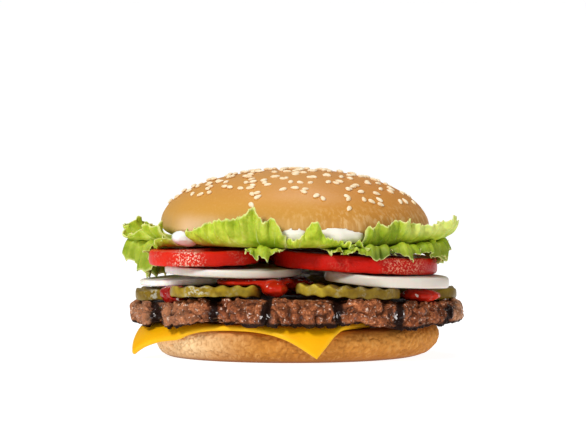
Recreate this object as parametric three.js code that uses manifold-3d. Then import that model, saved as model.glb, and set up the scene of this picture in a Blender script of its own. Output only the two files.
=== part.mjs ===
// A cheeseburger in millimetres, with +Z up and the front towards -Y.
// The origin is the middle of the heel's flat underside.
import * as THREE from "three";
import Module from "manifold-3d";

const wasm = await Module();
wasm.setup();

const TAU = Math.PI * 2;
const radians = THREE.MathUtils.degToRad;
const ease = THREE.MathUtils.smoothstep;

// Space left between two pieces that touch, and more where both are curved.
const GAP = 0.3;
const DRAPE_GAP = 0.45;

// Heel: the lower half of the bun.
const HEEL_RADIUS = 56.8;
const HEEL_FOOT = 48.6;
const HEEL_HEIGHT = 12.6;
const HEEL_WAIST = 8.4;
const HEEL_LIP = 5;
const HEEL_LEAN = 1.9;
const HEEL_SWELL = 0.3;
const HEEL_WAVER = 0.25;
const HEEL_LOW_ROUND = 1.75;

// Cheese: a square slice, turned a little, that drapes over the heel's rim.
const CHEESE_SIDE = 91.5;
const CHEESE_THICK = 2.3;
const CHEESE_TURN = radians(16 + 45);
const CHEESE_X = -8.3;
const CHEESE_Y = -8.2;
const CHEESE_LEVEL = HEEL_HEIGHT + DRAPE_GAP + CHEESE_THICK / 2;
const CHEESE_REST_FRONT = 54.9;
const CHEESE_REST_LEFT = 52.9;
const CHEESE_BEND_FRONT = 6;
const CHEESE_BEND_LEFT = 16.4;

// Where, from the front to the left, the drape's rest and its bend change: minus the angle's cosine.
const CHEESE_REST_TURNS = [0.1, 0.8];
const CHEESE_BEND_TURNS = [0.78, 0.95];

// Patty.
const PATTY_RADIUS = 66.1;
const PATTY_FLOOR = CHEESE_LEVEL + CHEESE_THICK / 2 + DRAPE_GAP;
const PATTY_TOP = 25.8;
const PATTY_DISH = 2.4;
const PATTY_SAG_RIGHT = 2.2;
const PATTY_SAG_LEFT = 2.7;
const PATTY_DROOP = 0.9;
const PATTY_END_LEFT = 3.9;
const PATTY_END_RIGHT = 3.1;
const PATTY_TILT = 0.6;
const PATTY_LUMP = 1.8;
const PATTY_RIPPLE = 0.35;
const PATTY_SIDES = 84;
const CHAR_LINES = [-55, -32, -11, 17.5, 40.5, 61];
const CHAR_WIDTH = 2.6;
const CHAR_DEPTH = 1.8;
const CHAR_NOTCH = 0.5;

// Crown: the upper half of the bun, with its seeds.
const CROWN_RADIUS = 53.6;
const CROWN_X = -0.6;
const CROWN_FLOOR = 47.4;
const CROWN_WIDEST = 52.4;
const CROWN_TOP = 74.3;
const CROWN_FOOT = 45;
const CROWN_ROUNDNESS = 2.12;
const CROWN_LOW_ROUND = 1.7;
const CROWN_SHOULDER = 0.05;
const CROWN_DISH = 1.2;
const CROWN_HOLLOW = 30;
const SEEDS = 66;
const SEED_LENGTH = 3.6;
const SEED_WIDTH = 2.25;
const SEED_HEIGHT = 1.2;
const SEED_SPREAD = 50.5;
const SEED_CROWDING = 0.62;
const SEED_STRAY = 0.35;
const SEED_TURN = Math.PI * (3 - Math.sqrt(5));

// Lettuce: the leaves lie on two levels under the crown and curl up or down outside it.
const LEAF_THICK = 0.8;
const LEAF_LOW = 44.8;
const LEAF_HIGH = LEAF_LOW + LEAF_THICK + GAP;
const LEAF_INNER = 14;
const LEAF_SHELF = 49.5;
const LEAF_ARCH = 0.8;
const LEAF_ARCH_MOST = 4.2;
const LEAF_ARCH_LEAN = 1.7;
const LEAF_PAD = 1.4;

const material = (colour, roughness) =>
  new THREE.MeshStandardMaterial({ color: colour, roughness, metalness: 0 });
const CRUST = material(0xd9963f, 0.55);
const CRUMB = material(0xdf9f58, 0.7);
const CHEDDAR = material(0xffc20f, 0.35);
const BEEF = material(0x7a4630, 0.6);
const GHERKIN = material(0x8a8a2c, 0.3);
const SAUCE = material(0xb8140e, 0.2);
const ONION = material(0xe9e6dc, 0.3);
const TOMATO = material(0xcf2a17, 0.25);
const LEAF = material(0x9cc52e, 0.45);
const CREAM = material(0xf3efe8, 0.25);

const part = new THREE.Group();
part.name = "cheeseburger";

// One closed solid from its corners and its triangles.
function solid(points, faces) {
  return new wasm.Manifold(
    new wasm.Mesh({
      numProp: 3,
      vertProperties: new Float32Array(points.flat()),
      triVerts: new Uint32Array(faces),
    }),
  );
}

// Adds a solid to the part as one named mesh.
function add(name, body, look) {
  const mesh = body.getMesh();
  const geometry = new THREE.BufferGeometry();
  geometry.setAttribute("position", new THREE.BufferAttribute(mesh.vertProperties, 3));
  geometry.setIndex(new THREE.BufferAttribute(mesh.triVerts, 1));
  geometry.computeVertexNormals();
  const node = new THREE.Mesh(geometry, look);
  node.name = name;
  part.add(node);
}

// The largest piece of a solid that a cut may have parted.
function largest(body) {
  const pieces = body.decompose();
  pieces.sort((a, b) => b.volume() - a.volume());
  return pieces[0];
}

// Rings of points about an upright axis, closed by one point below and one above.
function ringBody(sides, rings, foot, place, cap) {
  const points = [foot];
  for (let ring = 0; ring < rings; ring++) {
    for (let side = 0; side < sides; side++) points.push(place(ring, (side / sides) * TAU));
  }
  points.push(cap);
  const at = (ring, side) => 1 + ring * sides + (side % sides);
  const faces = [];
  for (let side = 0; side < sides; side++) {
    faces.push(0, at(0, side + 1), at(0, side));
    for (let ring = 0; ring < rings - 1; ring++) {
      const low = at(ring, side);
      const lowNext = at(ring, side + 1);
      const high = at(ring + 1, side);
      const highNext = at(ring + 1, side + 1);
      faces.push(low, lowNext, highNext, low, highNext, high);
    }
    faces.push(points.length - 1, at(rings - 1, side), at(rings - 1, side + 1));
  }
  return solid(points, faces);
}

// A thin sheet about the surface middle(u, v), with both faces split alike.
function sheetBody(columns, rows, middle, half) {
  const step = 1e-3;
  const upper = [];
  const lower = [];
  for (let row = 0; row <= rows; row++) {
    for (let column = 0; column <= columns; column++) {
      const u = column / columns;
      const v = row / rows;
      const here = middle(u, v);
      const along = middle(u + step, v).sub(middle(u - step, v));
      const across = middle(u, v + step).sub(middle(u, v - step));
      const normal = along.cross(across).normalize();
      upper.push(here.clone().addScaledVector(normal, half).toArray());
      lower.push(here.clone().addScaledVector(normal, -half).toArray());
    }
  }
  const under = upper.length;
  const at = (column, row) => row * (columns + 1) + column;
  const faces = [];
  const wall = (a, b) => faces.push(under + a, under + b, b, under + a, b, a);
  for (let row = 0; row < rows; row++) {
    for (let column = 0; column < columns; column++) {
      const a = at(column, row);
      const b = at(column + 1, row);
      const c = at(column + 1, row + 1);
      const d = at(column, row + 1);
      faces.push(a, b, c, a, c, d);
      faces.push(under + c, under + b, under + a, under + d, under + c, under + a);
    }
  }
  for (let column = 0; column < columns; column++) {
    wall(at(column, 0), at(column + 1, 0));
    wall(at(column + 1, rows), at(column, rows));
  }
  for (let row = 0; row < rows; row++) {
    wall(at(0, row + 1), at(0, row));
    wall(at(columns, row), at(columns, row + 1));
  }
  return solid([...upper, ...lower], faces);
}

// Sections of equal count, in order along a line, closed by a flat end at each end.
function loft(sections) {
  const count = sections[0].length;
  const points = sections.flat();
  const faces = [];
  for (let station = 0; station < sections.length - 1; station++) {
    for (let k = 0; k < count; k++) {
      const here = station * count + k;
      const next = station * count + ((k + 1) % count);
      faces.push(here, next, next + count, here, next + count, here + count);
    }
  }
  const last = points.length - count;
  for (let k = 1; k < count - 1; k++) {
    faces.push(0, k + 1, k);
    faces.push(last, last + k, last + k + 1);
  }
  return solid(points, faces);
}

// A quarter round of a rounded edge: how far out and how far up, from 0 to 1.
const roundOut = (turn, power) => Math.cos(turn) ** (2 / power);
const roundUp = (turn, power) => Math.sin(turn) ** (2 / power);

// Heel.
function heelBody() {
  const lowRings = 5;
  const highRings = 3;
  const inner = 30;
  const place = (ring, angle) => {
    const foot = HEEL_FOOT - HEEL_LEAN * Math.cos(angle);
    const rim = HEEL_RADIUS + HEEL_SWELL * Math.cos(angle) + HEEL_WAVER * Math.sin(5 * angle + 1);
    let radius = inner;
    let height = HEEL_HEIGHT;
    if (ring < lowRings) {
      const turn = (1 - ring / (lowRings - 1)) * (Math.PI / 2);
      radius = foot + (rim - foot) * roundOut(turn, HEEL_LOW_ROUND);
      height = HEEL_WAIST * (1 - roundUp(turn, HEEL_LOW_ROUND));
    } else if (ring < lowRings + highRings) {
      const turn = ((ring - lowRings + 1) / highRings) * (Math.PI / 2);
      radius = rim - HEEL_LIP + HEEL_LIP * roundOut(turn, 2);
      height = HEEL_WAIST + (HEEL_HEIGHT - HEEL_WAIST) * roundUp(turn, 2);
    }
    return [radius * Math.cos(angle), radius * Math.sin(angle), height];
  };
  return ringBody(40, lowRings + highRings + 1, [0, 0, 0], place, [0, 0, HEEL_HEIGHT]);
}

// Cheese: a flat point of the square goes to its place on the drape.
function drape(x, y) {
  const angle = Math.atan2(y, x);
  const reach = Math.hypot(x, y);
  const towardsLeft = (turns) => ease(-Math.cos(angle), ...turns);
  const rest = THREE.MathUtils.lerp(CHEESE_REST_FRONT, CHEESE_REST_LEFT, towardsLeft(CHEESE_REST_TURNS));
  const bend = THREE.MathUtils.lerp(CHEESE_BEND_FRONT, CHEESE_BEND_LEFT, towardsLeft(CHEESE_BEND_TURNS));
  const beyond = Math.max(0, reach - rest);
  const turn = Math.min(beyond / bend, Math.PI / 2);
  const hang = beyond - turn * bend;
  const radius = Math.min(reach, rest) + bend * Math.sin(turn);
  const height = CHEESE_LEVEL - bend * (1 - Math.cos(turn)) - hang;
  return new THREE.Vector3(radius * Math.cos(angle), radius * Math.sin(angle), height);
}

function cheeseBody() {
  const middle = (u, v) => {
    const along = (u - 0.5) * CHEESE_SIDE;
    const across = (v - 0.5) * CHEESE_SIDE;
    const x = CHEESE_X + along * Math.cos(CHEESE_TURN) - across * Math.sin(CHEESE_TURN);
    const y = CHEESE_Y + along * Math.sin(CHEESE_TURN) + across * Math.cos(CHEESE_TURN);
    return drape(x, y);
  };
  return sheetBody(16, 16, middle, CHEESE_THICK / 2);
}

// Patty: how far a place lies outside the cheese on the right, where the meat sags on to the heel.
function besideCheese(x, y) {
  const dx = x - CHEESE_X;
  const dy = y - CHEESE_Y;
  const along = dx * Math.cos(CHEESE_TURN) + dy * Math.sin(CHEESE_TURN);
  const across = -dx * Math.sin(CHEESE_TURN) + dy * Math.cos(CHEESE_TURN);
  return Math.max(along, -across) - CHEESE_SIDE / 2;
}

function pattyFloor(x, y) {
  const reach = Math.hypot(x, y);
  const right = ease(reach, 46, 57) * ease(x, 6, 30) * ease(besideCheese(x, y), 4, 15);
  const left = ease(reach, 57, 66) * ease(-x, 30, 54);
  const droop = PATTY_DROOP * ease(reach, 58, 65);
  return PATTY_FLOOR - PATTY_SAG_RIGHT * right - PATTY_SAG_LEFT * left - droop;
}

function pattyTop(x, y) {
  const reach = Math.hypot(x, y);
  const dish = PATTY_DISH * (1 - ease(reach, 40, 61));
  const ends = (x < 0 ? PATTY_END_LEFT : PATTY_END_RIGHT) * ease(Math.abs(x), 30, 58);
  return PATTY_TOP - dish - ends - PATTY_TILT * ease(x, 14, 34);
}

function charred(x) {
  let depth = 0;
  for (const line of CHAR_LINES) depth = Math.max(depth, Math.exp(-(((x - line) / CHAR_WIDTH) ** 2)));
  return depth;
}

// Lumps of the minced meat, between -1 and 1, by angle and by height along the side.
function lumps(angle, rise) {
  const broad = Math.sin(7 * angle + 2.1 * rise) + 0.8 * Math.sin(13 * angle - 3 * rise + 1);
  const fine = Math.sin(23 * angle + 5 * rise) * Math.cos(9 * angle - 4 * rise);
  return (broad + fine) / 2.8;
}

function pattyBody(grow = 0) {
  const profile = [
    { radius: 46, rise: 0 },
    { radius: 54, rise: 0 },
    { radius: PATTY_RADIUS - 3.8, rise: 0.02 },
    { radius: PATTY_RADIUS - 1.1, rise: 0.17 },
    { radius: PATTY_RADIUS, rise: 0.48 },
    { radius: PATTY_RADIUS - 0.8, rise: 0.78 },
    { radius: PATTY_RADIUS - 3.2, rise: 0.95 },
    { radius: 55, rise: 1 },
    { radius: 42, rise: 1 },
  ];
  const place = (ring, angle) => {
    const { radius, rise } = profile[ring];
    const side = ease(radius, 56, 64);
    const edge = radius * Math.cos(angle);
    const dent = CHAR_DEPTH * charred(edge) * ease(Math.abs(Math.sin(angle)), 0.1, 0.35);
    const reach = radius + side * (PATTY_LUMP * lumps(angle, rise) - dent + grow);
    const x = reach * Math.cos(angle);
    const y = reach * Math.sin(angle);
    const floor = pattyFloor(x, y) - grow;
    const uneven = PATTY_RIPPLE * side * lumps(angle, 2) - CHAR_NOTCH * charred(x);
    const top = pattyTop(x, y) + grow + uneven;
    return [x, y, floor + (top - floor) * rise];
  };
  const foot = [0, 0, pattyFloor(0, 0) - grow];
  const cap = [0, 0, pattyTop(0, 0) + grow];
  return ringBody(PATTY_SIDES, profile.length, foot, place, cap);
}

// The height of a slice that slopes to the right and to the front.
const onSlope = (spec, x, y) => spec.z + (x - spec.x) * spec.right - (y - spec.y) * spec.front;

// A round slice of onion or tomato with a rounded rim, not quite a true circle.
const SLICE_INSET = 0.9;
const SLICE_OVAL = 0.012;
const SLICE_WAVER = 0.006;

function sliceBody(spec, grow = 0) {
  const half = spec.thick / 2 + grow;
  const rim = [
    { inset: SLICE_INSET, level: -1 },
    { inset: 0, level: 0 },
    { inset: SLICE_INSET, level: 1 },
  ];
  const place = (ring, angle) => {
    const oval = SLICE_OVAL * Math.sin(2 * angle + spec.x);
    const waver = SLICE_WAVER * Math.sin(5 * angle + spec.y);
    const radius = spec.radius * (1 + oval + waver) + grow - rim[ring].inset;
    const x = spec.x + radius * Math.cos(angle);
    const y = spec.y + radius * Math.sin(angle);
    return [x, y, onSlope(spec, x, y) + rim[ring].level * half];
  };
  const foot = [spec.x, spec.y, spec.z - half];
  const cap = [spec.x, spec.y, spec.z + half];
  return ringBody(22, rim.length, foot, place, cap);
}

// A crinkle-cut slice of pickle: chords across the disc that rise and fall together.
const PICKLE_THICK = 4;
const PICKLE_WAVE = 6.1;
const PICKLE_CREST = 0.44;
const PICKLE_BEVEL = 0.7;
const PICKLE_BLUNT = 0.985;

function pickleBody(spec, grow = 0) {
  const stations = 18;
  const radius = spec.radius + grow;
  const half = PICKLE_THICK / 2 + grow;
  const sections = [];
  for (let station = 0; station <= stations; station++) {
    const along = radius * (2 * (station / stations) - 1) * PICKLE_BLUNT;
    const chord = Math.sqrt(radius ** 2 - along ** 2);
    const crest = PICKLE_CREST * Math.sin((along / PICKLE_WAVE) * TAU + spec.x);
    const face = chord - PICKLE_BEVEL;
    const loop = [
      [chord, 0],
      [face, half],
      [-face, half],
      [-chord, 0],
      [-face, -half],
      [face, -half],
    ];
    sections.push(
      loop.map(([across, up]) => {
        const x = spec.x + along * Math.cos(spec.turn) - across * Math.sin(spec.turn);
        const y = spec.y + along * Math.sin(spec.turn) + across * Math.cos(spec.turn);
        return [x, y, onSlope(spec, x, y) + crest + up];
      }),
    );
  }
  return loft(sections);
}

const PICKLES = {
  pickle_far_left: { x: -46.4, y: -4, z: 25.3, radius: 18, right: 0.045, front: 0, turn: 0.5 },
  pickle_front_left: { x: -31.8, y: -40.5, z: 27.5, radius: 18, right: 0, front: 0.074, turn: 0.06 },
  pickle_front_right: { x: 20.6, y: -40, z: 27.8, radius: 20.4, right: -0.045, front: 0.03, turn: -0.08 },
  pickle_far_right: { x: 46, y: 0.5, z: 25.2, radius: 18, right: -0.03, front: 0, turn: -0.5 },
  pickle_back_left: { x: -24, y: 38, z: 27.4, radius: 18, right: 0, front: -0.05, turn: 0.3 },
  pickle_back_right: { x: 19, y: 40, z: 27.5, radius: 18, right: -0.02, front: -0.05, turn: -0.2 },
};

const ONIONS = {
  onion_lower_left: { x: -40, y: -7, z: 30.65, radius: 22.4, thick: 2.4, right: 0.055, front: 0 },
  onion_upper_left: { x: -25, y: -22, z: 35, radius: 27, thick: 3.2, right: -0.02, front: 0 },
  onion_right: { x: 36, y: -28, z: 32, radius: 25, thick: 4.2, right: -0.055, front: 0.01 },
  onion_back_left: { x: -23, y: 27, z: 35, radius: 19.5, thick: 3, right: 0, front: -0.02 },
  onion_back_right: { x: 22, y: 30, z: 32.7, radius: 23, thick: 3.4, right: -0.02, front: -0.02 },
};

const TOMATOES = {
  tomato_left: { x: -36.5, y: -28, z: 40.95, radius: 21.6, thick: 5.9, right: 0.016, front: 0 },
  tomato_right: { x: 23.4, y: -18, z: 38.5, radius: 33, thick: 6.6, right: -0.055, front: 0.015 },
  tomato_back_left: { x: -24, y: 26.5, z: 40, radius: 23, thick: 6, right: 0, front: -0.01 },
  tomato_back_right: { x: 26, y: 39.6, z: 38.4, radius: 22, thick: 6.2, right: -0.03, front: -0.02 },
};

// Leaves: each fold is an angle in degrees, how far it reaches and the height of its rim.
const LEAVES = {
  lettuce_left_upper: {
    level: LEAF_HIGH,
    folds: [
      [157, 58, 48.5],
      [166, 64.5, 55],
      [175, 69, 52],
      [182, 67, 47.6],
      [190, 61, 52.5],
      [197, 59, 53.2],
      [204, 58, 53.4],
    ],
  },
  lettuce_left_lower: {
    level: LEAF_LOW,
    rows: 6,
    folds: [
      [158, 60, 30.6],
      [165, 61.5, 31.6],
      [170, 66, 40.5],
      [175, 69.4, 41],
      [181, 65.4, 37],
      [185, 61.8, 33.2],
      [190, 60.4, 33],
      [194, 59.8, 35.5],
      [199, 62.4, 42],
      [204, 60, 47.4],
      [210, 58.5, 48.4],
    ],
  },
  lettuce_front_left: {
    level: LEAF_HIGH,
    folds: [
      [222, 57.4, 52.4],
      [231, 59, 54],
      [238, 58.8, 57],
      [246, 59.8, 58],
      [254.5, 60.5, 61],
      [257.5, 60, 56.6],
      [261, 59.6, 58.6],
      [265.4, 58, 51.4],
    ],
  },
  lettuce_tongue: {
    level: LEAF_LOW,
    rows: 6,
    folds: [
      [250, 58.5, 45.2],
      [254, 61.4, 42.6],
      [258.6, 62.6, 41.8],
      [263.6, 60.5, 44.6],
    ],
  },
  lettuce_front_centre: {
    level: LEAF_HIGH,
    folds: [
      [266, 57.5, 49],
      [271.5, 58.5, 50.4],
      [277, 60, 57.4],
      [282, 59, 50.5],
      [289, 59.5, 47.8],
      [297, 60, 47.2],
    ],
  },
  lettuce_right_upper: {
    level: LEAF_HIGH,
    folds: [
      [299, 58, 53],
      [307, 59, 55],
      [315, 61, 56.4],
      [323, 62.5, 54],
      [331, 65.5, 55.8],
      [338, 68.6, 56.6],
      [344, 63.5, 52.4],
      [352, 60, 50],
    ],
  },
  lettuce_right_lower: {
    level: LEAF_LOW,
    rows: 6,
    folds: [
      [284, 57.5, 44.4],
      [294, 60.5, 43.4],
      [302.5, 62.8, 40.4],
      [308, 61.5, 44.2],
      [315.4, 64.2, 40],
      [321, 62.6, 44],
      [329, 63.4, 41.5],
      [335, 62.6, 38.8],
      [341, 62.6, 40.8],
      [347, 61.6, 39.2],
      [353, 59.8, 42.6],
    ],
  },
  lettuce_back_right: {
    level: LEAF_LOW,
    folds: [
      [-5, 58.5, 46],
      [4, 60.4, 41.5],
      [13, 61, 37],
      [21, 61.8, 35],
      [31.5, 62.4, 34.5],
      [38.5, 62, 44],
      [46, 62, 50],
      [56, 61, 47.4],
      [68, 61.5, 53],
      [80, 59, 47.4],
      [88, 58, 50],
    ],
  },
  lettuce_back_left: {
    level: LEAF_LOW,
    folds: [
      [91, 61, 43.6],
      [102, 62.5, 49],
      [113, 64, 42.6],
      [124, 64, 41.5],
      [135, 64.5, 38.5],
      [147, 62, 32.6],
      [156, 60, 30.8],
    ],
  },
};

// The reach and the rim's height at an angle, eased from fold to fold.
function foldAt(folds, degrees) {
  let k = 0;
  while (k < folds.length - 2 && degrees > folds[k + 1][0]) k++;
  const [from, reach, rim] = folds[k];
  const [to, nextReach, nextRim] = folds[k + 1];
  const share = ease(degrees, from, to);
  return [
    THREE.MathUtils.lerp(reach, nextReach, share),
    THREE.MathUtils.lerp(rim, nextRim, share),
  ];
}

// A leaf lies flat, then curls up to its rim, or arches and hangs down to it.
function leafBody(spec, grow = 0) {
  const first = spec.folds[0][0];
  const last = spec.folds[spec.folds.length - 1][0];
  const rows = spec.rows ?? 4;
  const shelfShare = 1 / rows;
  const pad = grow * LEAF_PAD;
  const middle = (u, v) => {
    const degrees = first - pad + (last - first + 2 * pad) * u;
    const [fold, rim] = foldAt(spec.folds, degrees);
    const reach = fold + grow;
    const angle = radians(degrees);
    let radius = LEAF_INNER + (LEAF_SHELF - LEAF_INNER) * (v / shelfShare);
    let height = spec.level;
    if (v > shelfShare) {
      const share = (v - shelfShare) / (1 - shelfShare);
      const turn = share * (Math.PI / 2);
      const arch = Math.min(LEAF_ARCH * Math.max(0, spec.level - rim), LEAF_ARCH_MOST);
      radius = LEAF_SHELF + (reach - LEAF_SHELF) * Math.sin(turn);
      height = spec.level + (rim - spec.level) * (1 - Math.cos(turn));
      height += arch * Math.sin(Math.PI * Math.min(share, 1) ** LEAF_ARCH_LEAN) ** 2;
    }
    return new THREE.Vector3(radius * Math.cos(angle), radius * Math.sin(angle), height);
  };
  const flipped = (u, v) => middle(1 - u, v);
  return sheetBody(2 * (spec.folds.length - 1), rows, flipped, LEAF_THICK / 2 + grow);
}

// A soft lump of sauce, wider than it is tall.
const LUMP_WAVER = 0.08;

function lump({ x, y, z, wide, deep, tall, turn = 0 }) {
  const sides = 12;
  const rings = 4;
  const place = (ring, angle) => {
    const rise = ((ring + 1) / (rings + 1)) * Math.PI - Math.PI / 2;
    const swell = 1 + LUMP_WAVER * Math.sin(3 * angle + x);
    const along = (wide / 2) * Math.cos(rise) * Math.cos(angle) * swell;
    const across = (deep / 2) * Math.cos(rise) * Math.sin(angle) * swell;
    const px = x + along * Math.cos(turn) - across * Math.sin(turn);
    const py = y + along * Math.sin(turn) + across * Math.cos(turn);
    return [px, py, z + (tall / 2) * Math.sin(rise)];
  };
  return ringBody(sides, rings, [x, y, z - tall / 2], place, [x, y, z + tall / 2]);
}

// Crown: a point of its skin by angle, and by rise from 0 at the widest ring to 1 at the top.
function crownSkin(angle, rise) {
  const turn = rise * (Math.PI / 2);
  const shoulder = 1 - CROWN_SHOULDER * ease(Math.cos(angle), 0, 1) * Math.sin(2 * turn);
  const radius = CROWN_RADIUS * roundOut(turn, CROWN_ROUNDNESS) * shoulder;
  const height = CROWN_WIDEST + (CROWN_TOP - CROWN_WIDEST) * roundUp(turn, CROWN_ROUNDNESS);
  return new THREE.Vector3(CROWN_X + radius * Math.cos(angle), radius * Math.sin(angle), height);
}

function crownBody(grow = 0) {
  const lowRings = 3;
  const highRings = 7;
  const ceiling = CROWN_FLOOR + CROWN_DISH - grow;
  const place = (ring, angle) => {
    if (ring === 0) return [CROWN_HOLLOW * Math.cos(angle), CROWN_HOLLOW * Math.sin(angle), ceiling];
    if (ring <= lowRings) {
      const turn = (1 - (ring - 1) / lowRings) * (Math.PI / 2);
      const out = roundOut(turn, CROWN_LOW_ROUND);
      const radius = CROWN_FOOT + (CROWN_RADIUS - CROWN_FOOT) * out + grow;
      const down = roundUp(turn, CROWN_LOW_ROUND);
      const height = CROWN_WIDEST - (CROWN_WIDEST - CROWN_FLOOR + grow) * down;
      return [CROWN_X + radius * Math.cos(angle), radius * Math.sin(angle), height];
    }
    const skin = crownSkin(angle, (ring - lowRings - 1) / highRings);
    return [skin.x + grow * Math.cos(angle), skin.y + grow * Math.sin(angle), skin.z];
  };
  const foot = [CROWN_X, 0, ceiling];
  const cap = [CROWN_X, 0, CROWN_TOP + grow];
  return ringBody(40, 1 + lowRings + highRings, foot, place, cap);
}

// A seed, pointed at both ends, set in the skin and turned in its plane.
function seedBody(index) {
  const share = (index + 0.5) / SEEDS;
  const reach = SEED_SPREAD * share ** SEED_CROWDING;
  const angle = index * SEED_TURN + SEED_STRAY * Math.sin(7.3 * index);
  const rise = Math.acos((reach / CROWN_RADIUS) ** (CROWN_ROUNDNESS / 2)) / (Math.PI / 2);
  const step = 1e-3;
  const centre = crownSkin(angle, rise);
  const around = crownSkin(angle + step, rise).sub(crownSkin(angle - step, rise));
  const up = crownSkin(angle, rise + step).sub(crownSkin(angle, rise - step));
  const normal = around.clone().cross(up).normalize();
  const spin = 2.4 * Math.sin(3.1 * index + 1);
  const long = up.normalize().applyAxisAngle(normal, spin);
  const wide = normal.clone().cross(long);
  const size = 1 - 0.18 * share + 0.06 * Math.sin(5.7 * index);
  const sink = 0.1 * SEED_HEIGHT;
  const sides = 6;
  const points = [centre.clone().addScaledVector(normal, -SEED_HEIGHT / 2)];
  for (let side = 0; side < sides; side++) {
    const turn = (side / sides) * TAU;
    const narrow = 1 - 0.2 * Math.cos(turn);
    const rim = centre.clone().addScaledVector(normal, sink);
    rim.addScaledVector(long, (size * SEED_LENGTH * Math.cos(turn)) / 2);
    rim.addScaledVector(wide, (size * narrow * SEED_WIDTH * Math.sin(turn)) / 2);
    points.push(rim);
  }
  points.push(centre.clone().addScaledVector(normal, SEED_HEIGHT * 0.62));
  const faces = [];
  for (let side = 0; side < sides; side++) {
    const here = 1 + side;
    const next = 1 + ((side + 1) % sides);
    faces.push(0, next, here, sides + 1, here, next);
  }
  return solid(points.map((point) => point.toArray()), faces);
}

function seededCrown() {
  const bodies = [crownBody()];
  for (let index = 0; index < SEEDS; index++) bodies.push(seedBody(index));
  return wasm.Manifold.union(bodies);
}

// Ketchup that shows between the pickles, cut clear of what it lies against.
const KETCHUP = {
  ketchup_left: [{ x: -48, y: -31, z: 26, wide: 11, deep: 20, tall: 8.4, turn: 0.5 }],
  ketchup_centre: [
    { x: -17, y: -36, z: 31.4, wide: 33, deep: 27, tall: 4.4 },
    { x: -8.4, y: -47, z: 29.4, wide: 11, deep: 22, tall: 7.8 },
    { x: -2, y: -27, z: 29.6, wide: 22, deep: 17, tall: 5.4 },
    { x: -0.8, y: -6, z: 28.2, wide: 15.5, deep: 40, tall: 8.6 },
  ],
  ketchup_right: [{ x: 49, y: -31, z: 25.6, wide: 18, deep: 16, tall: 6, turn: -0.5 }],
};

// Mayonnaise: a layer under the crown that swells out at the front and at the left.
const MAYO_FLOOR = LEAF_HIGH + LEAF_THICK / 2 + GAP;
const MAYO_RADIUS = 47;
const MAYO_BEADS = [
  { degrees: 212, reach: 51.5, z: 48.45, long: 14, deep: 14, tall: 7.8 },
  { degrees: 269, reach: 50.4, z: 50.2, long: 15, deep: 13, tall: 8.8 },
  { degrees: 288, reach: 50.6, z: 50, long: 24, deep: 13, tall: 9.4 },
];

function mayonnaiseLayer() {
  const edge = CROWN_FLOOR - GAP;
  const middle = CROWN_FLOOR + CROWN_DISH - GAP;
  const profile = [
    { radius: MAYO_RADIUS, height: MAYO_FLOOR },
    { radius: MAYO_RADIUS, height: edge - 0.1 },
    { radius: 28, height: middle },
  ];
  const place = (ring, angle) => {
    const { radius, height } = profile[ring];
    return [radius * Math.cos(angle), radius * Math.sin(angle), height];
  };
  return ringBody(32, profile.length, [0, 0, MAYO_FLOOR], place, [0, 0, middle]);
}

function mayonnaiseBody() {
  const beads = MAYO_BEADS.map(({ degrees, reach, z, long, deep, tall }) => {
    const angle = radians(degrees);
    const x = reach * Math.cos(angle);
    const y = reach * Math.sin(angle);
    return lump({ x, y, z, wide: deep, deep: long, tall, turn: angle });
  });
  const leaves = Object.values(LEAVES).map((spec) => leafBody(spec, GAP));
  const clear = wasm.Manifold.union([crownBody(GAP), ...leaves]);
  const swells = wasm.Manifold.union(beads).subtract(clear);
  return largest(wasm.Manifold.union([mayonnaiseLayer(), swells]));
}

function ketchupBody(lumpsOfSauce) {
  const clear = [pattyBody(GAP)];
  for (const spec of Object.values(PICKLES)) clear.push(pickleBody(spec, GAP));
  for (const spec of Object.values(ONIONS)) clear.push(sliceBody(spec, GAP));
  const sauce = wasm.Manifold.union(lumpsOfSauce.map((spec) => lump(spec)));
  return largest(sauce.subtract(wasm.Manifold.union(clear)));
}

add("bottom_bun", heelBody(), CRUMB);
add("cheese_slice", cheeseBody(), CHEDDAR);
add("patty", pattyBody(), BEEF);
for (const [name, spec] of Object.entries(PICKLES)) add(name, pickleBody(spec), GHERKIN);
for (const [name, spec] of Object.entries(KETCHUP)) add(name, ketchupBody(spec), SAUCE);
for (const [name, spec] of Object.entries(ONIONS)) add(name, sliceBody(spec), ONION);
for (const [name, spec] of Object.entries(TOMATOES)) add(name, sliceBody(spec), TOMATO);
for (const [name, spec] of Object.entries(LEAVES)) add(name, leafBody(spec), LEAF);
add("mayonnaise", mayonnaiseBody(), CREAM);
add("top_bun", seededCrown(), CRUST);

export default part;
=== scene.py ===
import itertools
import math

import bpy
import numpy as np
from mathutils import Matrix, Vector


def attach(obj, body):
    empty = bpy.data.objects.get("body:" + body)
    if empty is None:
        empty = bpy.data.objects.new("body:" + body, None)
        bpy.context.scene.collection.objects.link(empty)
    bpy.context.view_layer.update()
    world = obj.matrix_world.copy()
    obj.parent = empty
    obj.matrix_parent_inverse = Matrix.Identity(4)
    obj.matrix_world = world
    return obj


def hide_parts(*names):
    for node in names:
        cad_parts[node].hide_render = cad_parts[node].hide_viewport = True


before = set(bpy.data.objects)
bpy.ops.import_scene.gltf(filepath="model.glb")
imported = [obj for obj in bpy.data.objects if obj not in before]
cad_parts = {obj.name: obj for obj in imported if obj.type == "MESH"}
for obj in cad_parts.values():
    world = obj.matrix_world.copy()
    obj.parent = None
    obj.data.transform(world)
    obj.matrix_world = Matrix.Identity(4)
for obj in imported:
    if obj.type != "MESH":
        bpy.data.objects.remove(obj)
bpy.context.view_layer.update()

# Lengths are worked out in millimetres and turned into metres where a mesh is made.
MM = 0.001
TAU = 2 * math.pi
GAP = 0.3
DRAPE_GAP = 0.45

HEEL_RADIUS = 56.8
HEEL_FOOT = 48.6
HEEL_HEIGHT = 12.6
HEEL_WAIST = 8.4
HEEL_LIP = 5.0

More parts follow.
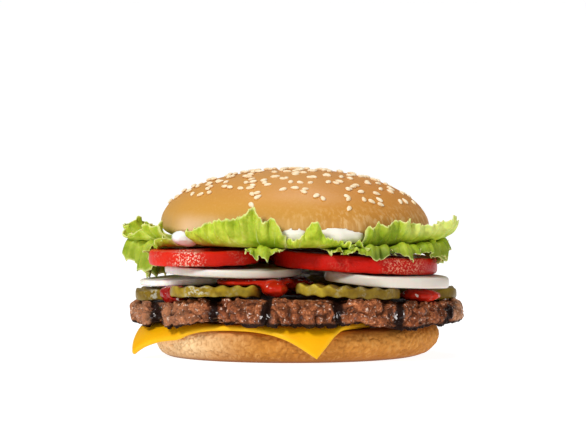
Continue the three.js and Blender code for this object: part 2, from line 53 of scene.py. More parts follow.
CHEESE_SIDE = 91.5
CHEESE_THICK = 2.3
CHEESE_TURN = math.radians(16 + 45)
CHEESE_X = -8.3
CHEESE_Y = -8.2
CHEESE_LEVEL = HEEL_HEIGHT + DRAPE_GAP + CHEESE_THICK / 2
# How far out the cheese lies flat and how widely it bends, at the front and at the left, and the
# stretch of -cos(angle) over which each goes from the one to the other.
CHEESE_REST_FRONT = 54.9
CHEESE_REST_LEFT = 52.9
CHEESE_BEND_FRONT = 6.0
CHEESE_BEND_LEFT = 16.4
CHEESE_REST_TURNS = (0.1, 0.8)
CHEESE_BEND_TURNS = (0.78, 0.95)

PATTY_RADIUS = 66.1
PATTY_FLOOR = CHEESE_LEVEL + CHEESE_THICK / 2 + DRAPE_GAP
PATTY_TOP = 25.8
PATTY_DISH = 2.4
PATTY_SAG_RIGHT = 2.2
PATTY_SAG_LEFT = 2.7
PATTY_DROOP = 0.9
PATTY_LUMP = 1.8
CHAR_LINES = (-55, -32, -11, 17.5, 40.5, 61)
CHAR_WIDTH = 2.6
CHAR_DEPTH = 1.8

PICKLE_THICK = 4.0
PICKLE_WAVE = 6.1
PICKLE_CREST = 0.44

CROWN_RADIUS = 53.6
CROWN_X = -0.6
CROWN_FLOOR = 47.4
CROWN_WIDEST = 52.4
CROWN_TOP = 74.3
CROWN_FOOT = 45.0
CROWN_ROUNDNESS = 2.12
CROWN_DISH = 1.2
FUSED_SEEDS = 66
EXTRA_SEEDS = 165
SEED_LENGTH = 3.6
SEED_WIDTH = 2.25
SEED_HEIGHT = 1.2
SEED_SPREAD = 50.5
SEED_TURN = math.pi * (3 - math.sqrt(5))

LEAF_THICK = 0.8
LEAF_LOW = 44.8
LEAF_HIGH = LEAF_LOW + LEAF_THICK + GAP
LEAF_INNER = 14.0
LEAF_SHELF = 49.5
LEAF_ARCH = 0.8
LEAF_ARCH_MOST = 4.2
LEAF_RUFFLE = 1.45
LEAF_TOOTH = 2.4
LEAF_NOTCH = 0.7

# How finely the pieces are meshed, which keeps all of them under a million triangles.
HEEL_SIDES = 640
CHEESE_ROWS = 100
PATTY_SIDES = 800
PATTY_RINGS = 98
PICKLE_SIDES = 180
ONION_SIDES = 160
TOMATO_SIDES = 220
LEAF_ROWS = 42
LEAF_COLUMNS_A_FOLD = 18
CROWN_SIDES = 360
CROWN_RINGS = 92


# Repeatable randomness and surface maths on whole arrays.
def lattice(x, y, z, seed):
    """A fixed random number from -1 to 1 for each whole-number place, from large odd numbers."""
    mixed = x * 374761393 + y * 668265263 + z * 1440670441 + seed * 1274126177
    mixed = (mixed & 0xFFFFFFFF).astype(np.uint64)
    mixed = ((mixed ^ (mixed >> np.uint64(13))) * np.uint64(1274126177)) & np.uint64(0xFFFFFFFF)
    mixed = mixed ^ (mixed >> np.uint64(16))
    return mixed.astype(float) / 0x7FFFFFFF - 1


def swell(points, size, seed):
    """Smooth noise from -1 to 1 with lumps about this size."""
    scaled = points / size
    base = np.floor(scaled)
    share = scaled - base
    share = share * share * (3 - 2 * share)
    base = base.astype(np.int64)
    total = 0.0
    for corner in itertools.product((0, 1), repeat=3):
        weight = 1.0
        for axis in range(3):
            part = share[..., axis]
            weight = weight * (part if corner[axis] else 1 - part)
        place = [base[..., axis] + corner[axis] for axis in range(3)]
        total = total + weight * lattice(*place, seed)
    return total


def ease(value, low, high):
    """0 below low, 1 above high, eased between."""
    share = np.clip((value - low) / (high - low), 0, 1)
    return share * share * (3 - 2 * share)


def blend(low, high, share):
    """From low at a share of 0 to high at 1."""
    return low + (high - low) * share


def stretch(points, x, y, z):
    return points * np.array([x, y, z])


def polar(radius, angle, height, middle=0.0):
    """Points at these radii, angles and heights about an upright axis at X = middle."""
    place = (middle + radius * np.cos(angle), radius * np.sin(angle), height)
    return np.stack(np.broadcast_arrays(*place), -1)


def swirl(points, size, seed):
    """A smooth random shift along each axis."""
    return np.stack([swell(points, size, seed + axis) for axis in range(3)], -1)


def normals(grid, wrap):
    """Unit normals of a grid of points, rows by columns, whose rows are closed if wrap."""
    if wrap:
        along = np.roll(grid, -1, 1) - np.roll(grid, 1, 1)
    else:
        along = np.gradient(grid, axis=1)
    across = np.gradient(grid, axis=0)
    normal = np.cross(along, across)
    return normal / np.maximum(np.linalg.norm(normal, axis=-1, keepdims=True), 1e-9)


# Meshes.
def make_piece(name, points, faces, slot_name, look, *nodes):
    """A smooth-shaded piece that rides on the burger and stands for these solids."""
    mesh = bpy.data.meshes.new(name)
    mesh.from_pydata((np.asarray(points) * MM).tolist(), [], faces)
    mesh.update()
    mesh.polygons.foreach_set("use_smooth", np.ones(len(mesh.polygons), bool))
    mesh.materials.append(look)
    piece = bpy.data.objects.new(name, mesh)
    bpy.context.scene.collection.objects.link(piece)
    declare(piece, slot_name, *nodes)
    return piece


def declare(piece, slot_name, *nodes):
    """Ties a piece to the burger and hides the solids it stands for."""
    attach(piece, "root")
    if nodes:
        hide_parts(*nodes)


def store(piece, name, values):
    """Keeps one number for each point, which a material reads by name."""
    layer = piece.data.attributes.new(name, "FLOAT", "POINT")
    layer.data.foreach_set("value", np.asarray(values, np.float32).ravel())


def ring_faces(rings, sides):
    """Faces of rings closed by a point under the first and a point over the last."""
    faces = []
    last = 1 + (rings - 1) * sides
    cap = last + sides
    for side in range(sides):
        after = (side + 1) % sides
        faces.append((0, 1 + after, 1 + side))
        faces.append((cap, last + side, last + after))
    for ring in range(rings - 1):
        low = 1 + ring * sides
        for side in range(sides):
            after = (side + 1) % sides
            faces.append((low + side, low + after, low + sides + after, low + sides + side))
    return faces


def ring_points(grid):
    """The points of a ring body, with the middles of its end rings as its two poles."""
    foot = grid[0].mean(0)
    cap = grid[-1].mean(0)
    return np.vstack([foot[None], grid.reshape(-1, 3), cap[None]])


def ring_values(values):
    """Values on the rings, with one more for each pole."""
    return np.concatenate([[values[0].mean()], values.ravel(), [values[-1].mean()]])


def ring_piece(name, grid, slot_name, look, *nodes):
    """A closed body from a grid of points, one row for each ring."""
    faces = ring_faces(*grid.shape[:2])
    return make_piece(name, ring_points(grid), faces, slot_name, look, *nodes)


def sheet_piece(name, middle, half, slot_name, look, *nodes):
    """A thin closed sheet about a grid of points, half as thick on each side as half says."""
    rows, columns = middle.shape[:2]
    normal = normals(middle, False)
    upper = (middle + normal * half[..., None]).reshape(-1, 3)
    lower = (middle - normal * half[..., None]).reshape(-1, 3)
    under = rows * columns
    index = np.arange(under).reshape(rows, columns)
    quads = np.stack([index[:-1, :-1], index[:-1, 1:], index[1:, 1:], index[1:, :-1]], -1).reshape(-1, 4)
    edge = np.concatenate([index[0, :], index[1:, -1], index[-1, -2::-1], index[-2:0:-1, 0]])
    after = np.roll(edge, -1)
    wall = np.stack([edge + under, after + under, after, edge], -1)
    faces = np.vstack([quads, quads[:, ::-1] + under, wall]).tolist()
    return make_piece(name, np.vstack([upper, lower]), faces, slot_name, look, *nodes)


def rounded(turn, power):
    """How far out and how far up a rounded edge is, from 0 to 1."""
    return np.cos(turn) ** (2 / power), np.sin(turn) ** (2 / power)


def angles(sides):
    """Evenly spaced angles once round."""
    return np.arange(sides) / sides * TAU


# Materials: arithmetic on sockets adds Math nodes.
class Value:
    """A socket of a material that can be used in sums."""

    def __init__(self, look, socket):
        self.look = look
        self.socket = socket

    def math(self, operation, *others, first=None):
        start = self if first is None else first
        settings = {"operation": operation}
        inputs = {place: each for place, each in enumerate((start, *others))}
        return self.look.node("ShaderNodeMath", settings, inputs)

    def __add__(self, other):
        return self.math("ADD", other)

    def __sub__(self, other):
        return self.math("SUBTRACT", other)

    def __mul__(self, other):
        return self.math("MULTIPLY", other)

    def __truediv__(self, other):
        return self.math("DIVIDE", other)

    def __rsub__(self, other):
        return self.math("SUBTRACT", self, first=other)

    __radd__ = __add__
    __rmul__ = __mul__

    def clamp(self):
        return self.look.node("ShaderNodeClamp", {}, {0: self})

    def band(self, low, high):
        """0 below low, 1 above high, eased between."""
        settings = {"interpolation_type": "SMOOTHSTEP"}
        return self.look.node("ShaderNodeMapRange", settings, {0: self, 1: low, 2: high})

    def between(self, low, high, soft):
        """1 from low to high, eased to 0 over a soft margin on each side."""
        return self.band(low - soft, low) * (1 - self.band(high, high + soft))


class Look:
    """One material: a Principled shader and what feeds it."""

    def __init__(self, name, **constants):
        self.material = bpy.data.materials.new(name)
        self.material.use_nodes = True
        self.tree = self.material.node_tree
        self.tree.nodes.clear()
        self.shader = self.tree.nodes.new("ShaderNodeBsdfPrincipled")
        output = self.tree.nodes.new("ShaderNodeOutputMaterial")
        self.tree.links.new(self.shader.outputs[0], output.inputs[0])
        for socket, value in constants.items():
            self.shader.inputs[socket.replace("_", " ")].default_value = value
        self.place = self.node("ShaderNodeTexCoord", {}, {}, "Object")

    def node(self, kind, settings, inputs, output=0):
        """A node of this kind: settings first, then values or links for its sockets."""
        made = self.tree.nodes.new(kind)
        for key, value in settings.items():
            if key == "stops":
                self.set_stops(made.color_ramp, value)
            else:
                setattr(made, key, value)
        for key, value in inputs.items():
            self.feed(made.inputs[key], value)
        return Value(self, made.outputs[output])

    def feed(self, socket, value):
        if isinstance(value, Value):
            self.tree.links.new(value.socket, socket)
        elif isinstance(value, tuple) and len(value) == 3 and socket.type == "RGBA":
            socket.default_value = (*value, 1)
        else:
            socket.default_value = value

    def set_stops(self, ramp, stops):
        while len(ramp.elements) < len(stops):
            ramp.elements.new(1)
        for element, (position, colour) in zip(ramp.elements, stops):
            element.position = position
            element.color = (*colour, 1)

    def ramp(self, factor, *stops):
        return self.node("ShaderNodeValToRGB", {"stops": stops}, {0: factor})

    def mix(self, factor, low, high):
        """The colour low where the factor is 0, and the colour high where it is 1."""
        return self.node("ShaderNodeMix", {"data_type": "RGBA"}, {0: factor, 6: low, 7: high}, 2)

    def scaled(self, x, y, z):
        """The object's own coordinates, stretched along each axis."""
        settings = {"operation": "MULTIPLY"}
        return self.node("ShaderNodeVectorMath", settings, {0: self.place, 1: (x, y, z)})

    def noise(self, size, detail=3.0, rough=0.55, place=None):
        """Cloudy noise from 0 to 1 with patches about this many millimetres across."""
        inputs = {
            "Vector": place or self.place,
            "Scale": 1 / (size * MM),
            "Detail": detail,
            "Roughness": rough,
        }
        return self.node("ShaderNodeTexNoise", {}, inputs)

    def axis(self, name):
        """How far along X, Y or Z, in millimetres."""
        return self.node("ShaderNodeSeparateXYZ", {}, {0: self.place}, name) * (1 / MM)

    def stored(self, name):
        """What store kept for each point under this name."""
        return self.node("ShaderNodeAttribute", {"attribute_name": name}, {}, "Fac")

    def bump(self, height, depth):
        """Relief this many millimetres deep."""
        inputs = {"Height": height, "Distance": depth * MM, "Strength": 1.0}
        return self.node("ShaderNodeBump", {}, inputs)

    def finish(self, colour, roughness=None, relief=None, coat=None):
        """The material, once its shader is fed with what changes over the surface."""
        fed = {"Base Color": colour, "Roughness": roughness, "Normal": relief, "Coat Weight": coat}
        for name, value in fed.items():
            if value is not None:
                self.feed(self.shader.inputs[name], value)
        return self.material


# One function for each material. Places along X and Z are in millimetres.
def crown_crust():
    look = Look("crown_crust", Coat_Weight=0.12, Coat_Roughness=0.3, Specular_IOR_Level=0.16)
    height = look.axis("Z")
    cloud = look.noise(16, 4)
    foot = 47
    top = 74
    rise = (height - foot + (cloud - 0.5) * 7) / (top - foot)
    baked = look.ramp(
        rise.clamp(),
        (0.0, (0.72, 0.50, 0.23)),
        (0.22, (0.67, 0.39, 0.12)),
        (0.42, (0.60, 0.300, 0.050)),
        (0.75, (0.61, 0.270, 0.038)),
        (1.0, (0.61, 0.28, 0.055)),
    )
    across = look.axis("X")
    pale = across.between(-42, -34, 8) * (1 - height.band(53, 60)) * cloud.band(0.3, 0.6)
    paler = look.mix(pale * 0.5, baked, (0.86, 0.64, 0.42))
    # Painted shade: the right side is painted darker and more orange.
    right = (across + (cloud - 0.5) * 30).band(-20, 50)
    deeper = look.mix(right * 0.6, paler, (0.56, 0.185, 0.012))
    streaks = look.noise(1.5, 3, 0.6, look.scaled(1, 1, 0.1))
    wall = (1 - height.band(55, 64)) * across.band(-30, 25)
    light = look.mix(wall * streaks.band(0.48, 0.62) * 0.5, deeper, (0.84, 0.56, 0.26))
    streaked = look.mix(wall * (1 - streaks.band(0.36, 0.5)) * 0.4, light, (0.50, 0.22, 0.05))
    speckle = look.noise(0.9, 2)
    colour = look.mix(((speckle - 0.5) * 0.45).clamp(), streaked, (0.86, 0.58, 0.25))
    relief = look.bump(speckle + wall * streaks * 2, 0.07)
    return look.finish(colour, 0.44 + speckle * 0.14, relief)


def seed_skin():
    look = Look("sesame_seed", Specular_IOR_Level=0.25)
    cloud = look.noise(3.0, 2)
    colour = look.ramp(
        cloud,
        (0.25, (0.86, 0.62, 0.33)),
        (0.6, (0.95, 0.80, 0.55)),
        (0.85, (0.97, 0.88, 0.70)),
    )
    return look.finish(colour, 0.35 + cloud * 0.2, look.bump(look.noise(0.5), 0.04))


def heel_crust():
    look = Look("heel_crust", Specular_IOR_Level=0.14)
    across = look.axis("X")
    height = look.axis("Z")
    cloud = look.noise(13, 3)
    # Painted light: the crust is painted lighter on the left and darker towards the right, as the light falls
    # from the left.
    side = (across + (cloud - 0.5) * 22).band(-52, -12)
    lit = look.mix(side, (0.95, 0.68, 0.37), (0.66, 0.265, 0.045))
    # Painted shade: darker and deeper orange in the middle of the front.
    fronted = look.mix(across.between(-18, 6, 22) * 0.4, lit, (0.42, 0.160, 0.018))
    # Painted shade: darker towards the bottom, more so on the right.
    low = 1 - (height + (cloud - 0.5) * 3).band(0.2, 6)
    toned = look.mix(low * (0.5 + side * 0.35), fronted, (0.38, 0.125, 0.014))
    # Painted shade in the creases of the crust.
    cracked = look.mix(look.stored("crease") * 0.6, toned, (0.34, 0.12, 0.018))
    fleck = look.noise(1.0, 3, 0.6, look.scaled(1, 1, 0.5))
    # Painted highlights: the peaks of the crust are painted paler, most on the left.
    peak = look.stored("peak") * fleck.band(0.42, 0.6)
    tip = look.mix(side, (0.98, 0.74, 0.44), (0.80, 0.42, 0.12))
    tipped = look.mix(peak * 0.35, cracked, tip)
    # Painted shadow: a dark line along the foot, where the heel meets the floor.
    foot = 1 - height.band(0.3, 1.5)
    colour = look.mix(foot * 0.7, tipped, (0.20, 0.06, 0.015))
    return look.finish(colour, 0.55 + fleck * 0.2, look.bump(fleck, 0.3))


def cheddar():
    look = Look("cheddar", Specular_IOR_Level=0.1, Subsurface_Weight=0.05, Subsurface_Scale=1.5 * MM)
    cloud = look.noise(14, 2)
    colour = look.mix(cloud.band(0.3, 0.7), (0.84, 0.385, 0.001), (0.89, 0.44, 0.002))
    paler = look.mix(look.stored("edge") * 0.5, colour, (0.95, 0.56, 0.02))
    return look.finish(paler, 0.38 + cloud * 0.12, look.bump(look.noise(2.5, 2), 0.05))


def grilled_beef():
    look = Look("grilled_beef", Specular_IOR_Level=0.06, Coat_Roughness=0.07)
    grain = look.noise(1.1, 5, 0.7)
    patch = look.noise(5, 3)
    pit = look.stored("pit")
    across = look.axis("X")
    height = look.axis("Z")
    meat = look.ramp(
        (grain * 0.6 + patch * 0.4).clamp(),
        (0.36, (0.050, 0.014, 0.007)),
        (0.44, (0.19, 0.062, 0.027)),
        (0.53, (0.40, 0.118, 0.042)),
        (0.64, (0.82, 0.330, 0.138)),
    )
    redder = look.mix(look.noise(10, 2).band(0.48, 0.7) * 0.5, meat, (0.20, 0.042, 0.016))
    lit = (1 - across.band(-56, -30)) * 0.22 + across.band(61, 64) * 0.35
    sunny = look.mix(lit, redder, (0.82, 0.48, 0.27))
    # The char mask also holds painted shade along the lower edge of the side.
    char = (look.stored("char") + (grain - 0.5) * 1.1).band(0.32, 0.75)
    crust = look.mix(char * 0.98, sunny, (0.009, 0.003, 0.002))
    shaded = look.mix(pit * 0.85, crust, (0.022, 0.007, 0.004))
    # Painted highlights: small pale glints on the meat.
    spark = look.noise(1.3, 2).band(0.62, 0.68) * (1 - char) * (1 - pit * 0.8)
    glinting = look.mix(spark * 0.7, shaded, (0.98, 0.76, 0.60))
    side = height.band(PATTY_FLOOR, PATTY_FLOOR + 2.5) * (1 - height.band(PATTY_TOP - 5.5, PATTY_TOP - 3.5))
    # Painted highlights: pale glints in upright streaks on the char.
    drip = look.noise(1.5, 1, 0.5, look.scaled(1, 1, 0.6)).band(0.65, 0.68) * char * side
    glazed = look.mix(drip * 0.8, glinting, (0.86, 0.82, 0.80))
    wet = look.noise(1.6, 2).band(0.56, 0.6) * side
    relief = look.bump(grain + look.noise(0.5, 3) * 0.5, 0.6)
    return look.finish(glazed, 0.55 - patch * 0.2, relief, wet)


def pickle_flesh():
    look = Look("pickle_flesh", Specular_IOR_Level=0.09, Coat_Roughness=0.06)
    cloud = look.noise(5, 3)
    flesh = look.ramp(
        cloud,
        (0.3, (0.19, 0.115, 0.005)),
        (0.5, (0.42, 0.245, 0.009)),
        (0.7, (0.64, 0.43, 0.025)),
    )
    skin = look.ramp(look.noise(2.5, 3), (0.35, (0.18, 0.12, 0.006)), (0.65, (0.44, 0.30, 0.014)))
    skinned = look.mix(look.stored("rim").band(0.82, 0.97) * 0.7, flesh, skin)
    paler = look.mix(look.stored("crest").band(0.5, 1.0) * 0.4, skinned, (0.66, 0.54, 0.08))
    grain = look.noise(1.2, 3)
    across = look.axis("X")
    # Painted shade: darker outside the middle stretch, most at the far left and towards the right. Painted
    # light lifts the middle stretch.
    inner = across.band(-28, -18) * (1 - across.band(8, 13))
    shade = (1 - across.band(-58, -50)) * 0.33 + across.band(11, 24) * 0.42 + 0.32 * (1 - inner)
    darker = look.mix(shade, paler, (0.125, 0.070, 0.010))
    lighter = look.mix(inner * 0.35, darker, (0.80, 0.62, 0.08))
    # Painted highlights: pale glare spots, mostly on the left pickles, which also get a glossy coat.
    glare = across.between(-42, -37, 3) + across.between(-57, -56, 2)
    drops = grain.band(0.49, 0.58) * (look.noise(7, 2).band(0.5, 0.58) * 0.15 + glare * 0.7)
    colour = look.mix(drops * 0.5, lighter, (0.80, 0.86, 0.74))
    return look.finish(colour, 0.25 + cloud * 0.15, look.bump(grain, 0.2), drops * 0.9)


def onion_flesh():
    look = Look("onion_flesh", Specular_IOR_Level=0.25, Subsurface_Weight=0.35, Subsurface_Scale=3 * MM)
    veins = look.noise(1.6, 3, 0.6, look.scaled(1, 1, 0.25))
    white = look.mix(veins.band(0.35, 0.7), (0.90, 0.86, 0.80), (0.98, 0.96, 0.92))
    clouded = look.mix(look.noise(9, 2).band(0.45, 0.75) * 0.3, white, (0.70, 0.66, 0.48))
    seam = 1 - look.stored("ring").band(0.0, 0.22)
    lined = look.mix(seam * 0.5, clouded, (0.52, 0.48, 0.34))
    # Painted shade: the onion is painted darker from the left towards the right.
    colour = look.mix(look.axis("X").band(-52, -12) * 0.85, lined, (0.66, 0.59, 0.50))
    return look.finish(colour, 0.25 + veins * 0.2, look.bump(veins, 0.08))


def tomato_flesh():
    look = Look(
        "tomato_flesh",
        Specular_IOR_Level=0.1,
        Coat_Roughness=0.08,
        Subsurface_Weight=0.04,
        Subsurface_Scale=1.5 * MM,
    )
    cloud = look.noise(8, 3)
    grain = look.noise(1.0, 4, 0.7)
    across = look.axis("X")
    # Painted light: the red is brighter at the far left and darker towards the right.
    bright = look.mix(across.band(-62, -14), (0.80, 0.030, 0.010), (0.58, 0.009, 0.003))
    flesh = look.mix(cloud.band(0.4, 0.75) * 0.4, bright, (0.38, 0.006, 0.003))
    # Painted highlights: pale glints, mostly in two bands, which also get a glossy coat.
    glare = across.between(-45, -40, 5) + across.between(37, 48, 5)
    drop = look.noise(0.75, 3, 0.6)
    wet = drop.band(0.51, 0.58) * (glare + cloud.band(0.54, 0.64) * 0.15).clamp()
    speck = look.mix(across.band(-20, 10), (1.0, 0.72, 0.54), (0.82, 0.28, 0.15))
    speckled = look.mix(wet * 0.85, flesh, speck)
    colour = look.mix(look.stored("rim") * 0.15, speckled, (0.42, 0.006, 0.003))
    return look.finish(colour, 0.22 + grain * 0.2, look.bump(grain, 0.3), wet * 0.7)


def lettuce_leaf():
    look = Look("lettuce_leaf", Specular_IOR_Level=0.2, Subsurface_Weight=0.15, Subsurface_Scale=1.2 * MM)
    cloud = look.noise(9, 3)
    blister = look.noise(2.6, 3, 0.6)
    green = look.ramp(
        (cloud * 0.6 + blister * 0.4).clamp(),
        (0.30, (0.20, 0.31, 0.014)),
        (0.46, (0.38, 0.50, 0.022)),
        (0.58, (0.54, 0.63, 0.05)),
        (0.74, (0.74, 0.78, 0.20)),
    )
    ribbed = look.mix(look.stored("rib").band(0.3, 0.95) * 0.6, green, (0.78, 0.82, 0.38))
    across = look.axis("X")
    height = look.axis("Z")
    raised = height.band(48, 52)
    low = (1 - height.band(42, 48)) * (0.42 + across.band(26, 34) * 0.2)
    fold = across.between(31, 38, 6) * 0.38
    middle = across.between(-24, -6, 6) * raised * 0.2
    shade = low + fold + middle
    shaded = look.mix(shade.clamp(), ribbed, (0.12, 0.18, 0.010))
    sunny = look.mix(across.band(41, 46) * raised * 0.3, shaded, (0.88, 0.88, 0.40))
    colour = look.mix(look.stored("rim").band(0.94, 1.0) * 0.7, sunny, (0.84, 0.86, 0.34))
    return look.finish(colour, 0.34 + blister * 0.25, look.bump(blister, 0.3))


def sauce(name, deep, light, left, roughness):
    """A sauce that goes from deep to light in patches, with painted pale glints and another colour at the far
    left.
    """
    look = Look(
        name,
        Specular_IOR_Level=0.1,
        Coat_Weight=0.1,
        Coat_Roughness=0.03,
        Subsurface_Weight=0.06,
        Subsurface_Scale=2 * MM,
    )
    cloud = look.noise(6, 2)
    mixed = look.mix(cloud.band(0.3, 0.7), deep, light)
    # At the far left it is darker for the ketchup. For the mayonnaise it is painted light that lifts the drop
    # out of its pink cast and shade.
    toned = look.mix(1 - look.axis("X").band(-46, -38), mixed, left)
    # Painted highlights: small pale glints.
    glint = look.noise(2.6, 1).band(0.68, 0.72)
    colour = look.mix(glint * 0.8, toned, (0.95, 0.84, 0.80))
    return look.finish(colour, roughness + cloud * 0.1, look.bump(look.noise(3.5, 2), 0.25))


CROWN_LOOK = crown_crust()
SEED_LOOK = seed_skin()
HEEL_LOOK = heel_crust()
CHEESE_LOOK = cheddar()
BEEF_LOOK = grilled_beef()
PICKLE_LOOK = pickle_flesh()
ONION_LOOK = onion_flesh()
TOMATO_LOOK = tomato_flesh()
LEAF_LOOK = lettuce_leaf()
KETCHUP_LOOK = sauce(
    "ketchup_gloss",
    deep=(0.44, 0.011, 0.003),
    light=(0.58, 0.024, 0.006),
    left=(0.30, 0.004, 0.002),
    roughness=0.14,
)
MAYONNAISE_LOOK = sauce(
    "mayonnaise_gloss",
    deep=(0.88, 0.81, 0.65),
    light=(0.93, 0.89, 0.78),
    left=(0.92, 1.0, 0.98),
    roughness=0.2,
)


# Heel: the lower half of the bun.
def make_heel():
    """Rings of the flat underside, the lower curve, the upper curve and the cut face, then the crust."""
    angle = angles(HEEL_SIDES)
    foot = HEEL_FOOT - 1.9 * np.cos(angle)
    rim = HEEL_RADIUS + 0.3 * np.cos(angle) + 0.25 * np.sin(5 * angle + 1)
    rows = []
    for share in np.linspace(0, 1, 8)[:-1]:
        rows.append((foot * (0.05 + 0.93 * share), 0))
    for turn in np.linspace(math.pi / 2, 0, 34):
        out, up = rounded(turn, 1.75)
        rows.append((blend(foot, rim, out), HEEL_WAIST * (1 - up)))
    for turn in np.linspace(0, math.pi / 2, 22)[1:]:
        out, up = rounded(turn, 2)
        rows.append((rim - HEEL_LIP + HEEL_LIP * out, blend(HEEL_WAIST, HEEL_HEIGHT, up)))
    for radius in (46, 30, 12):
        rows.append((radius, HEEL_HEIGHT))
    grid = np.array([polar(radius, angle, height) for radius, height in rows])
    side = ease(grid[..., 2], 0.3, 2.5) * (1 - ease(grid[..., 2], 10.5, 12.4))
    squeezed = stretch(grid, 1, 1, 0.6)
    broad = 0.45 * swell(grid, 11, 1) + 0.22 * swell(squeezed, 4, 2)
    tall = squeezed + 0.5 * swirl(grid, 1.6, 81)
    coarse = np.abs(swell(tall, 1.6, 3))
    fine = np.abs(swell(tall, 1.0, 5))
    wrinkle = 0.42 * ease(coarse, 0, 0.4) + 0.3 * ease(fine, 0, 0.4) - 0.38
    grid = grid + normals(grid, True) * (side * (broad + wrinkle - 0.1))[..., None]
    piece = ring_piece("heel", grid, "crumb", HEEL_LOOK, "bottom_bun")
    # Painted shade goes in the creases.
    crease = 0.7 * (1 - ease(coarse, 0, 0.2)) + 0.6 * (1 - ease(fine, 0, 0.18))
    store(piece, "crease", ring_values(side * np.minimum(crease, 1)))
    # Painted highlights go on the peaks.
    store(piece, "peak", ring_values(side * ease(coarse, 0.25, 0.6)))


# Cheese: a square that lies on the heel and bends down where it reaches past it.
def drape(x, y):
    """Where a place of the flat square lies once it is draped."""
    angle = np.arctan2(y, x)
    reach = np.hypot(x, y)
    rest = blend(CHEESE_REST_FRONT, CHEESE_REST_LEFT, ease(-np.cos(angle), *CHEESE_REST_TURNS))
    bend = blend(CHEESE_BEND_FRONT, CHEESE_BEND_LEFT, ease(-np.cos(angle), *CHEESE_BEND_TURNS))
    beyond = np.maximum(0, reach - rest)
    turn = np.minimum(beyond / bend, math.pi / 2)
    hang = beyond - turn * bend
    radius = np.minimum(reach, rest) + bend * np.sin(turn)
    height = CHEESE_LEVEL - bend * (1 - np.cos(turn)) - hang
    return polar(radius, angle, height)


def make_cheese():
    """A draped sheet whose rows lie closer together towards its edges."""
    line = np.linspace(-1, 1, CHEESE_ROWS)
    line = np.sign(line) * (1 - (1 - np.abs(line)) ** 1.25)
    across, along = np.meshgrid(line, line, indexing="ij")
    corner = 1 - 0.012 * (np.abs(along) * np.abs(across)) ** 8
    half_side = CHEESE_SIDE / 2
    u = along * corner * half_side
    v = across * corner * half_side
    x = CHEESE_X + u * math.cos(CHEESE_TURN) - v * math.sin(CHEESE_TURN)
    y = CHEESE_Y + u * math.sin(CHEESE_TURN) + v * math.cos(CHEESE_TURN)
    middle = drape(x, y)
    outside = ease(np.hypot(x, y), 55, 64)
    middle[..., 2] += outside * 0.35 * swell(middle, 9, 11)
    edge = np.maximum(np.abs(along), np.abs(across))
    half = CHEESE_THICK / 2 * np.sqrt(np.clip(1 - edge ** 90 * 0.85, 0, 1))
    piece = sheet_piece("cheese_square", middle, half, "cheese", CHEESE_LOOK, "cheese_slice")
    store(piece, "edge", np.tile(ease(edge, 0.955, 1.0).ravel(), 2))


# Patty.
def beside_cheese(x, y):
    """How far a place lies past the cheese's two edges at the right."""
    dx = x - CHEESE_X
    dy = y - CHEESE_Y
    along = dx * math.cos(CHEESE_TURN) + dy * math.sin(CHEESE_TURN)
    across = -dx * math.sin(CHEESE_TURN) + dy * math.cos(CHEESE_TURN)
    return np.maximum(along, -across) - CHEESE_SIDE / 2


def patty_floor(x, y):
    """The underside sags past the cheese at the right and at the left, and droops at its rim."""
    reach = np.hypot(x, y)
    right = ease(reach, 46, 57) * ease(x, 6, 30) * ease(beside_cheese(x, y), 4, 15)
    left = ease(reach, 57, 66) * ease(-x, 30, 54)
    droop = PATTY_DROOP * ease(reach, 58, 65)
    return PATTY_FLOOR - PATTY_SAG_RIGHT * right - PATTY_SAG_LEFT * left - droop


def patty_top(x, y):
    """The top is dished in the middle and falls towards both ends."""
    dish = PATTY_DISH * (1 - ease(np.hypot(x, y), 40, 61))
    ends = np.where(x < 0, 3.9, 3.1) * ease(np.abs(x), 30, 58)
    return PATTY_TOP - dish - ends - 0.6 * ease(x, 14, 34)


def charred(x):
    """1 on a char line, falling to 0 beside it."""
    return np.max([np.exp(-(((x - line) / CHAR_WIDTH) ** 2)) for line in CHAR_LINES], axis=0)


def lumps(angle, rise):
    """The patty's large lumps, from -1 to 1, round its side."""
    broad = np.sin(7 * angle + 2.1 * rise) + 0.8 * np.sin(13 * angle - 3 * rise + 1)
    fine = np.sin(23 * angle + 5 * rise) * np.cos(9 * angle - 4 * rise)
    return (broad + fine) / 2.8


# The patty's side: how far out, and how far up from its floor to its top.
PATTY_PROFILE = (
    (46, 0), (54, 0), (PATTY_RADIUS - 3.8, 0.02), (PATTY_RADIUS - 1.1, 0.17), (PATTY_RADIUS, 0.48),
    (PATTY_RADIUS - 0.8, 0.78), (PATTY_RADIUS - 3.2, 0.95), (55, 1), (42, 1),
)


def patty_rings():
    """Rings of the smooth patty, with how far out and how far up its side each point lies."""
    profile = np.array(PATTY_PROFILE, float)
    stations = np.linspace(0, len(profile) - 1, PATTY_RINGS)
    inner = np.array([8.0, 26.0, 38.0])
    out = np.interp(stations, range(len(profile)), profile[:, 0])
    up = np.interp(stations, range(len(profile)), profile[:, 1])
    radius = np.concatenate([inner, out, inner[::-1]])[:, None]
    rise = np.concatenate([inner * 0, up, inner * 0 + 1])[:, None]
    angle = angles(PATTY_SIDES)[None, :]
    side = ease(radius, 56, 64)
    char = charred(radius * np.cos(angle)) * ease(np.abs(np.sin(angle)), 0.1, 0.35)
    reach = radius + side * (PATTY_LUMP * lumps(angle, rise) - CHAR_DEPTH * char)
    x = reach * np.cos(angle)
    y = reach * np.sin(angle)
    floor = patty_floor(x, y)
    top = patty_top(x, y) - 0.5 * charred(x) + 0.35 * side * lumps(angle, 2)
    shoulder = ease(reach, 59.5, 62.5) * (0.5 + 0.5 * np.sin(11 * angle + 2)) * (1 - char)
    grid = np.stack([x, y, blend(floor, top + shoulder, rise)], -1)
    whole = np.ones_like(x)
    return grid, radius * whole, rise * whole, floor


